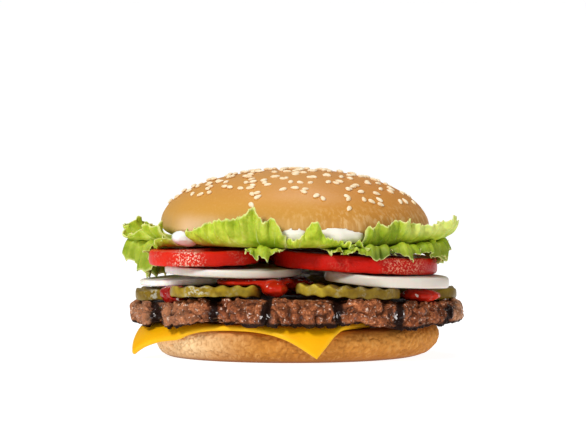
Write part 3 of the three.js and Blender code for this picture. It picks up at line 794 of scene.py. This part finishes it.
def make_patty():
    """The smooth patty with crags of three sizes, and for the material its char lines, painted shade along
    its lower edge and its pits for painted shade.
    """
    grid, radius, rise, floor = patty_rings()
    warped = stretch(grid, 1, 1, 0.8) + 0.9 * swirl(grid, 2.6, 91)
    coarse = np.abs(swell(warped, 4.6, 21))
    medium = np.abs(swell(warped, 2.3, 25))
    fine = np.abs(swell(warped, 0.95, 31))
    crag = 2.0 * ease(coarse, 0, 0.6) + ease(medium, 0, 0.6) + 0.5 * fine
    crag = crag + 1.1 * swell(grid, 8, 32) - 1.9
    showing = ease(radius, 50, 60) * (0.35 + 0.65 * ease(rise, 0.0, 0.03))
    face = ease(radius, 57, 62)
    amount = np.clip(showing * crag * (0.35 + 0.65 * face), -1.9, 0.9)
    grid = grid + normals(grid, True) * amount[..., None]
    piece = ring_piece("grilled_patty", grid, "beef", BEEF_LOOK, "patty")
    strayed = grid[..., 0] + 2.2 * swell(grid, 6, 35) + 0.9 * swell(grid, 2.2, 36)
    wide_char = charred(strayed) * (0.35 + 0.65 * ease(np.abs(grid[..., 1]), 8, 25))
    # Painted shade: the lowest band of the side, over the cheese, is darkened along with the char lines.
    low_edge = 0.8 * (1 - ease(grid[..., 2] - floor, 0.8, 3.0)) * face
    store(piece, "char", ring_values(np.maximum(wide_char, low_edge)))
    pit = 0.8 * (1 - ease(coarse, 0, 0.2)) + 0.6 * (1 - ease(medium, 0, 0.2))
    store(piece, "pit", ring_values(np.minimum(pit, 1)))


# Slices: right and front say how far each one rises for every millimetre that way.
def on_slope(spec, x, y):
    """The height of a slice's middle plane."""
    return spec["z"] + (x - spec["x"]) * spec["right"] - (y - spec["y"]) * spec["front"]


def slice_grid(spec, sides, face_radii, belly, corner):
    """Rings of a round slice: its lower face, its rounded rim and its upper face.

    With them go each point's share of the radius, its level from -1 to 1 and how far out on the rim it is.
    """
    half = spec["thick"] / 2
    rows = [(share, -1.0, 0.0) for share in face_radii]
    for turn in np.linspace(-math.pi / 2, math.pi / 2, belly):
        level = math.copysign(abs(math.sin(turn)) ** 0.7, math.sin(turn))
        rows.append((1.0, level, math.cos(turn) ** 0.8))
    rows += [(share, 1.0, 0.0) for share in face_radii[::-1]]
    rows = np.array(rows)
    share, level, out = (rows[:, k][:, None] for k in range(3))
    angle = angles(sides)[None, :]
    wobble = 1 + 0.012 * np.sin(2 * angle + spec["x"]) + 0.006 * np.sin(5 * angle + spec["y"])
    radius = (spec["radius"] * wobble - corner) * share + corner * out
    x = spec["x"] + radius * np.cos(angle)
    y = spec["y"] + radius * np.sin(angle)
    grid = np.stack([x, y, on_slope(spec, x, y) + level * half], -1)
    whole = np.ones_like(x)
    return grid, share * whole, level * whole, out * whole


ONIONS = {
    "onion_lower_left": dict(x=-40, y=-7, z=30.65, radius=22.4, thick=2.4, right=0.055, front=0),
    "onion_upper_left": dict(x=-25, y=-22, z=35, radius=27, thick=3.2, right=-0.02, front=0),
    "onion_right": dict(x=36, y=-28, z=32, radius=25, thick=4.2, right=-0.055, front=0.01),
    "onion_back_left": dict(x=-23, y=27, z=35, radius=19.5, thick=3, right=0, front=-0.02),
    "onion_back_right": dict(x=22, y=30, z=32.7, radius=23, thick=3.4, right=-0.02, front=-0.02),
}

TOMATOES = {
    "tomato_left": dict(x=-36.5, y=-28, z=40.95, radius=21.6, thick=5.9, right=0.016, front=0),
    "tomato_right": dict(x=23.4, y=-18, z=38.5, radius=33, thick=6.6, right=-0.055, front=0.015),
    "tomato_back_left": dict(x=-24, y=26.5, z=40, radius=23, thick=6, right=0, front=-0.01),
    "tomato_back_right": dict(x=26, y=39.6, z=38.4, radius=22, thick=6.2, right=-0.03, front=-0.02),
}


def on_face(share):
    """True on a slice's two faces and false on its rim."""
    return share < 0.99


def make_onion(name, spec):
    """A slice with a groove between its layers."""
    face_radii = np.linspace(0.06, 0.985, 20)
    grid, share, level, _ = slice_grid(spec, ONION_SIDES, face_radii, belly=12, corner=0.9)
    ring_count = 6.5
    phase = share * ring_count + 0.12 * swell(grid, 20, 41)
    seam = np.abs(phase - np.round(phase)) * 2
    drop = 0.22 * (1 - ease(seam, 0, 0.28)) * on_face(share)
    grid[..., 2] -= np.sign(level) * drop
    grid[..., 2] += 0.3 * swell(grid, 16, 43)
    piece = ring_piece(name + "_slice", grid, "onion", ONION_LOOK, name)
    store(piece, "ring", ring_values(np.where(on_face(share), seam, 1.0)))


def make_tomato(name, spec):
    """A slice with sunken seed chambers and an uneven skin."""
    face_radii = np.linspace(0.05, 0.985, 15)
    grid, share, level, out = slice_grid(spec, TOMATO_SIDES, face_radii, belly=20, corner=1.3)
    angle = np.arctan2(grid[..., 1] - spec["y"], grid[..., 0] - spec["x"])
    chambers = 6
    lobe = 0.5 + 0.5 * np.cos(chambers * angle + spec["x"])
    pocket = ease(share, 0.3, 0.45) * (1 - ease(share, 0.78, 0.88)) * ease(lobe, 0.25, 0.6)
    grid[..., 2] -= np.sign(level) * 0.7 * pocket * on_face(share)
    bumps = 0.16 * swell(grid, 3.5, 51) + 0.1 * swell(grid, 1.4, 52)
    grid = grid + normals(grid, True) * (bumps * ease(share, 0.85, 1.0) - 0.05)[..., None]
    piece = ring_piece(name + "_slice", grid, "tomato", TOMATO_LOOK, name)
    store(piece, "rim", ring_values(out))


# Pickles: crinkle-cut slices, whose waves follow each other along the angle turn.
PICKLES = {
    "pickle_far_left": dict(x=-46.4, y=-4, z=25.3, radius=18, right=0.045, front=0, turn=0.5),
    "pickle_front_left": dict(x=-31.8, y=-40.5, z=27.5, radius=18, right=0, front=0.074, turn=0.06),
    "pickle_front_right": dict(x=20.6, y=-40, z=27.8, radius=20.4, right=-0.045, front=0.03, turn=-0.08),
    "pickle_far_right": dict(x=46, y=0.5, z=25.2, radius=18, right=-0.03, front=0, turn=-0.5),
    "pickle_back_left": dict(x=-24, y=38, z=27.4, radius=18, right=0, front=-0.05, turn=0.3),
    "pickle_back_right": dict(x=19, y=40, z=27.5, radius=18, right=-0.02, front=-0.05, turn=-0.2),
}


def make_pickle(name, spec):
    """A wavy slice with a ring of seed hollows."""
    face_radii = np.linspace(0.05, 0.985, 14)
    disc = dict(spec, thick=PICKLE_THICK)
    grid, share, level, _ = slice_grid(disc, PICKLE_SIDES, face_radii, belly=12, corner=0.8)
    dx = grid[..., 0] - spec["x"]
    dy = grid[..., 1] - spec["y"]
    along = dx * math.cos(spec["turn"]) + dy * math.sin(spec["turn"])
    wave = np.sin(along / PICKLE_WAVE * TAU + spec["x"])
    grid[..., 2] += PICKLE_CREST * wave * (0.85 + 0.3 * level + 0.5 * swell(grid, 9, 62))
    angle = np.arctan2(dy, dx)
    core = ease(share, 0.5, 0.62) * (1 - ease(share, 0.64, 0.74))
    seeds = ease(np.cos(15 * angle + spec["y"]), 0.1, 0.7) * core * on_face(share)
    grid[..., 2] -= np.sign(level) * 0.3 * seeds
    grid = grid + normals(grid, True) * (0.12 * swell(grid, 2.6, 61))[..., None]
    piece = ring_piece(name + "_chip", grid, "pickle", PICKLE_LOOK, name)
    store(piece, "rim", ring_values(share))
    store(piece, "crest", ring_values(0.5 + 0.5 * wave * level))


# Lettuce: each fold is an angle in degrees, how far it reaches and the height of its rim.
LEAVES = {
    "lettuce_left_upper": (LEAF_HIGH, [
        (157, 58, 48.5), (166, 64.5, 55), (175, 69, 52), (182, 67, 47.6), (190, 61, 52.5), (197, 59, 53.2),
        (204, 58, 53.4),
    ]),
    "lettuce_left_lower": (LEAF_LOW, [
        (158, 60, 30.6), (165, 61.5, 31.6), (170, 66, 40.5), (175, 69.4, 41), (181, 65.4, 37),
        (185, 61.8, 33.2), (190, 60.4, 33), (194, 59.8, 35.5), (199, 62.4, 42), (204, 60, 47.4),
        (210, 58.5, 48.4),
    ]),
    "lettuce_front_left": (LEAF_HIGH, [
        (222, 57.4, 52.4), (231, 59, 54), (238, 58.8, 57), (246, 59.8, 58), (254.5, 60.5, 61),
        (257.5, 60, 56.6), (261, 59.6, 58.6), (265.4, 58, 51.4),
    ]),
    "lettuce_tongue": (LEAF_LOW, [
        (250, 58.5, 45.2), (254, 61.4, 42.6), (258.6, 62.6, 41.8), (263.6, 60.5, 44.6),
    ]),
    "lettuce_front_centre": (LEAF_HIGH, [
        (266, 57.5, 49), (271.5, 58.5, 50.4), (277, 60, 57.4), (282, 59, 50.5), (289, 59.5, 47.8),
        (297, 60, 47.2),
    ]),
    "lettuce_right_upper": (LEAF_HIGH, [
        (299, 58, 53), (307, 59, 55), (315, 61, 56.4), (323, 62.5, 54), (331, 65.5, 55.8), (338, 68.6, 56.6),
        (344, 63.5, 52.4), (352, 60, 50),
    ]),
    "lettuce_right_lower": (LEAF_LOW, [
        (284, 57.5, 44.4), (294, 60.5, 43.4), (302.5, 62.8, 40.4), (308, 61.5, 44.2), (315.4, 64.2, 40),
        (321, 62.6, 44), (329, 63.4, 41.5), (335, 62.6, 38.8), (341, 62.6, 40.8), (347, 61.6, 39.2),
        (353, 59.8, 42.6),
    ]),
    "lettuce_back_right": (LEAF_LOW, [
        (-5, 58.5, 46), (4, 60.4, 41.5), (13, 61, 37), (21, 61.8, 35), (31.5, 62.4, 34.5), (38.5, 62, 44),
        (46, 62, 50), (56, 61, 47.4), (68, 61.5, 53), (80, 59, 47.4), (88, 58, 50),
    ]),
    "lettuce_back_left": (LEAF_LOW, [
        (91, 61, 43.6), (102, 62.5, 49), (113, 64, 42.6), (124, 64, 41.5), (135, 64.5, 38.5), (147, 62, 32.6),
        (156, 60, 30.8),
    ]),
}


def fold_at(folds, degrees):
    """How far a leaf reaches and how high its rim is, eased from fold to fold."""
    table = np.array(folds, float)
    k = np.clip(np.searchsorted(table[:, 0], degrees, side="right") - 1, 0, len(table) - 2)
    share = ease(degrees, table[k, 0], table[k + 1, 0])
    reach = blend(table[k, 1], table[k + 1, 1], share)
    rim = blend(table[k, 2], table[k + 1, 2], share)
    return reach, rim


def leaf_surface(level, folds, degrees, v):
    """The smooth middle of a leaf, and how far along its free part each point lies."""
    shelf = 0.25
    reach, rim = fold_at(folds, degrees)
    share = np.clip((v - shelf) / (1 - shelf), 0, 1)
    turn = share * (math.pi / 2)
    flat = blend(LEAF_INNER, LEAF_SHELF, np.minimum(v / shelf, 1))
    radius = flat + (reach - LEAF_SHELF) * np.sin(turn)
    arch = np.minimum(LEAF_ARCH * np.maximum(0, level - rim), LEAF_ARCH_MOST)
    height = blend(level, rim, 1 - np.cos(turn)) + arch * np.sin(math.pi * share ** 1.7) ** 2
    return radius, height, share, np.where(rim > level, 1.0, -1.0)


def make_leaf(name, level, folds, seed):
    """A leaf with a toothed and ruffled rim, blisters and ribs."""
    first = folds[0][0]
    last = folds[-1][0]
    margin = 0.8
    columns = LEAF_COLUMNS_A_FOLD * (len(folds) - 1)
    degrees = np.linspace(last + margin, first - margin, columns)[None, :]
    angle = np.radians(degrees)
    v = np.linspace(0, 1, LEAF_ROWS)[:, None]
    radius, height, share, outward = leaf_surface(level, folds, degrees, v)
    place = polar(radius, angle, height)
    drift = swell(place, 11, seed)
    tooth = (1 - np.abs(np.sin(degrees * 0.62 + 2.2 * drift))) * (0.6 + 0.8 * swell(place, 8, seed + 4))
    notch = 1 - np.abs(np.sin(degrees * 1.9 + 2.5 * drift + 1))
    height = height + outward * share ** 4 * (LEAF_TOOTH * tooth + LEAF_NOTCH * notch - 1.1)
    middle = polar(radius, angle, height)
    free = ease(share, 0.3, 1.0)
    ruffle = np.sin(degrees * 0.93 + 2.4 * drift + seed) + 0.45 * np.sin(degrees * 2.2 - 2 * drift)
    blister = (0.3 * swell(middle, 2.6, seed + 7) + 0.4 * swell(middle, 5, seed + 8)) * ease(share, 0.0, 0.3)
    shift = LEAF_RUFFLE * free * (ruffle + 0.25) + blister
    middle = middle + normals(middle, False) * -shift[..., None]
    edge = np.clip(np.minimum(degrees - first, last - degrees) / 2.0 + 0.4, 0, 1)
    half = LEAF_THICK / 2 * (1 - 0.5 * free) * (0.5 + 0.5 * edge)
    piece = sheet_piece(name + "_leaf", middle, half, "lettuce", LEAF_LOOK, name)
    fan = degrees * 0.15 + 0.7 * swell(place, 13, seed + 9)
    vein = np.abs(fan % 1 - 0.5) * 2
    rib = ease(vein, 0.88, 1.0) * (1 - 0.5 * free)
    rim = np.maximum(share, 1 - 0.08 * edge)
    store(piece, "rib", np.tile(rib.ravel(), 2))
    store(piece, "rim", np.tile(rim.ravel(), 2))


# Crown: the upper half of the bun, with its seeds.
def crown_skin(angle, rise):
    """A place on the domed skin, from its widest level at 0 to its top at 1."""
    turn = rise * (math.pi / 2)
    shoulder = 1 - 0.05 * ease(np.cos(angle), 0, 1) * np.sin(2 * turn)
    out, up = rounded(turn, CROWN_ROUNDNESS)
    radius = CROWN_RADIUS * out * shoulder
    return polar(radius, angle, blend(CROWN_WIDEST, CROWN_TOP, up), CROWN_X)


def make_crown():
    """Rings of the dished underside, the lower curve and the domed skin, then its soft swells."""
    angle = angles(CROWN_SIDES)
    rows = []
    for radius in (3, 13.5, 24, 30):
        rows.append(polar(radius, angle, CROWN_FLOOR + CROWN_DISH))
    for turn in np.linspace(math.pi / 2, 0, 20):
        out, up = rounded(turn, 1.7)
        radius = blend(CROWN_FOOT, CROWN_RADIUS, out)
        rows.append(polar(radius, angle, blend(CROWN_WIDEST, CROWN_FLOOR, up), CROWN_X))
    for rise in np.linspace(0, 0.985, CROWN_RINGS)[1:]:
        rows.append(crown_skin(angle, rise))
    grid = np.array(rows)
    outer = ease(grid[..., 2], 49, 53)
    wall = 1 - ease(grid[..., 2], 55, 63)
    soft = 0.32 * swell(grid, 24, 71) + 0.1 * swell(grid, 7, 72)
    wrinkle = 0.16 * swell(stretch(grid, 1, 1, 0.1), 1.5, 73) * wall
    grid = grid + normals(grid, True) * (outer * (soft + wrinkle - 0.1))[..., None]
    ring_piece("crown", grid, "crust", CROWN_LOOK, "top_bun")


def seed_frame(angle, rise):
    """The centre, the outward normal and the upward direction of a place on the crown's skin."""
    step = 1e-3
    centre = crown_skin(angle, rise)
    around = crown_skin(angle + step, rise) - crown_skin(angle - step, rise)
    up = crown_skin(angle, rise + step) - crown_skin(angle, rise - step)
    normal = np.cross(around, up)
    return centre, normal / np.linalg.norm(normal), up / np.linalg.norm(up)


def seed_shape(length, width, height):
    """A smooth drop: rounder at one end and pointed at the other."""
    rings = 9
    sides = 12
    points = []
    for turn in np.linspace(-math.pi / 2, math.pi / 2, rings + 2)[1:-1]:
        long = math.sin(turn)
        girth = math.cos(turn) * (1 - 0.32 * long) ** 0.8
        for side in angles(sides):
            wide = girth * math.cos(side)
            high = girth * math.sin(side)
            points.append((long * length / 2, wide * width / 2, high * height / 2))
    ends = [(-length / 2, 0, 0)] + points + [(length / 2, 0, 0)]
    return np.array(ends), ring_faces(rings, sides)


def fused_seed(index):
    """A seed of the solid: how far out it lies, at what angle, how it is turned and its size."""
    share = (index + 0.5) / FUSED_SEEDS
    reach = SEED_SPREAD * share ** 0.62
    angle = index * SEED_TURN + 0.35 * math.sin(7.3 * index)
    spin = 2.4 * math.sin(3.1 * index + 1)
    size = 1 - 0.18 * share + 0.06 * math.sin(5.7 * index)
    return reach, angle, spin, size


def extra_seed(index):
    """The same for a seed beyond the solid's, which may lie further out at the right."""
    angle = index * SEED_TURN * 1.37 + 0.8 + 0.5 * math.sin(4.7 * index)
    outermost = 45 + 6.5 * max(0, math.cos(angle))
    reach = outermost * ((index + 0.5) / EXTRA_SEEDS) ** 0.5 + 1.8 * math.sin(9.1 * index)
    spin = 2.4 * math.sin(2.3 * index + 4)
    size = 0.88 + 0.07 * math.sin(3.7 * index)
    return abs(reach), angle, spin, size


def make_seeds():
    """All the seeds as one piece, each laid flat on the skin and sunk into it a little."""
    seeds = [fused_seed(index) for index in range(FUSED_SEEDS)]
    seeds += [extra_seed(index) for index in range(EXTRA_SEEDS)]
    points = []
    faces = []
    lift = 0.12 * SEED_HEIGHT
    for index, (reach, angle, spin, size) in enumerate(seeds):
        rise = math.acos((reach / CROWN_RADIUS) ** (CROWN_ROUNDNESS / 2)) / (math.pi / 2)
        centre, normal, up = seed_frame(angle, rise)
        wide = np.cross(normal, up)
        long = up * math.cos(spin) + wide * math.sin(spin)
        side = np.cross(normal, long)
        shape, seed_faces = seed_shape(SEED_LENGTH * size, SEED_WIDTH * size, SEED_HEIGHT)
        shape[:, 2] += lift
        placed = centre + shape @ np.array([long, side, normal])
        base = len(placed) * index
        points.append(placed)
        faces.extend(tuple(corner + base for corner in face) for face in seed_faces)
    make_piece("sesame_seeds", np.vstack(points), faces, "crust", SEED_LOOK, "top_bun")


# Sauces: the solid's own mesh, remeshed finely, smoothed and made a little lumpy.
def roughen(mesh, size, depth):
    """Moves each point of a mesh along its normal, in lumps of this size and depth."""
    points = np.empty(3 * len(mesh.vertices))
    facing = np.empty_like(points)
    mesh.vertices.foreach_get("co", points)
    mesh.vertex_normals.foreach_get("vector", facing)
    points = points.reshape(-1, 3) / MM
    lump = depth * (swell(points, size, 71) + 0.5 * swell(points, size / 2, 72))
    points += facing.reshape(-1, 3) * (lump - depth / 2)[:, None]
    mesh.vertices.foreach_set("co", (points * MM).ravel())
    mesh.update()


def make_sauce(name, node, slot_name, look, voxel, rounds, lump_size, lump_depth):
    """The voxels, the lumps and their depth are in millimetres; rounds is how often it is smoothed."""
    piece = bpy.data.objects.new(name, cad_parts[node].data.copy())
    bpy.context.scene.collection.objects.link(piece)
    remesh = piece.modifiers.new("remesh", "REMESH")
    remesh.mode = "VOXEL"
    remesh.voxel_size = voxel * MM
    smooth = piece.modifiers.new("smooth", "SMOOTH")
    smooth.factor = 0.5
    smooth.iterations = rounds
    shape = piece.evaluated_get(bpy.context.evaluated_depsgraph_get())
    piece.data = bpy.data.meshes.new_from_object(shape)
    piece.modifiers.clear()
    roughen(piece.data, lump_size, lump_depth)
    piece.data.name = name
    piece.data.polygons.foreach_set("use_smooth", np.ones(len(piece.data.polygons), bool))
    piece.data.materials.clear()
    piece.data.materials.append(look)
    declare(piece, slot_name, node)


make_heel()
make_cheese()
make_patty()
for name, spec in PICKLES.items():
    make_pickle(name, spec)
for name, spec in ONIONS.items():
    make_onion(name, spec)
for name, spec in TOMATOES.items():
    make_tomato(name, spec)
for order, (name, (level, folds)) in enumerate(LEAVES.items()):
    make_leaf(name, level, folds, 100 + 10 * order)
for name in ("ketchup_left", "ketchup_centre", "ketchup_right"):
    make_sauce(name + "_drop", name, "ketchup", KETCHUP_LOOK,
               voxel=0.4, rounds=22, lump_size=3.6, lump_depth=0.55)
make_sauce("mayonnaise_layer", "mayonnaise", "mayonnaise", MAYONNAISE_LOOK,
           voxel=0.8, rounds=5, lump_size=7, lump_depth=0.6)
make_crown()
make_seeds()


# Floor, lights and camera.
def make_floor():
    reach = 30.0
    mesh = bpy.data.meshes.new("floor")
    corners = [(-reach, -reach, 0), (reach, -reach, 0), (reach, reach, 0), (-reach, reach, 0)]
    mesh.from_pydata(corners, [], [(0, 1, 2, 3)])
    look = Look(
        "floor_white",
        Roughness=0.9,
        Specular_IOR_Level=0.1,
        Emission_Strength=0.91,
        Emission_Color=(1, 1, 1, 1),
    )
    mesh.materials.append(look.finish((0.3, 0.3, 0.3)))
    floor = bpy.data.objects.new("floor", mesh)
    bpy.context.scene.collection.objects.link(floor)


def make_light(name, place, size, power):
    """A round lamp at a place in metres, aimed at the middle of the burger."""
    middle = Vector((0, 0, 0.04))
    data = bpy.data.lights.new(name, "AREA")
    data.shape = "DISK"
    data.size = size
    data.energy = power
    lamp = bpy.data.objects.new(name, data)
    bpy.context.scene.collection.objects.link(lamp)
    lamp.location = place
    lamp.rotation_euler = (middle - lamp.location).to_track_quat("-Z", "Y").to_euler()


def make_world(strength):
    world = bpy.data.worlds.new("studio")
    world.use_nodes = True
    background = world.node_tree.nodes["Background"]
    background.inputs["Color"].default_value = (1, 1, 1, 1)
    background.inputs["Strength"].default_value = strength
    bpy.context.scene.world = world


# The view is as wide as the photograph, seen from far off and a little above level.
def make_camera():
    photo_pixels = 586
    pixel = 0.4 * MM
    lift = math.radians(3)
    distance = 3.0
    target = Vector((-1.2 * MM, 0, 53.9 * MM))
    data = bpy.data.cameras.new("camera")
    data.lens = data.sensor_width * distance / (photo_pixels * pixel)
    data.clip_end = 50
    camera = bpy.data.objects.new("camera", data)
    bpy.context.scene.collection.objects.link(camera)
    camera.location = target + distance * Vector((0, -math.cos(lift), math.sin(lift)))
    camera.rotation_euler = (target - camera.location).to_track_quat("-Z", "Y").to_euler()
    bpy.context.scene.camera = camera


make_floor()
make_world(strength=0.3)
make_light("key", (-0.5, -0.75, 0.6), size=0.2, power=7)
make_light("fill", (0.75, -0.6, 0.25), size=0.5, power=1.2)
make_light("top", (0.05, 0.3, 0.8), size=0.4, power=2.6)
make_camera()
bpy.context.scene.view_settings.view_transform = "Standard"
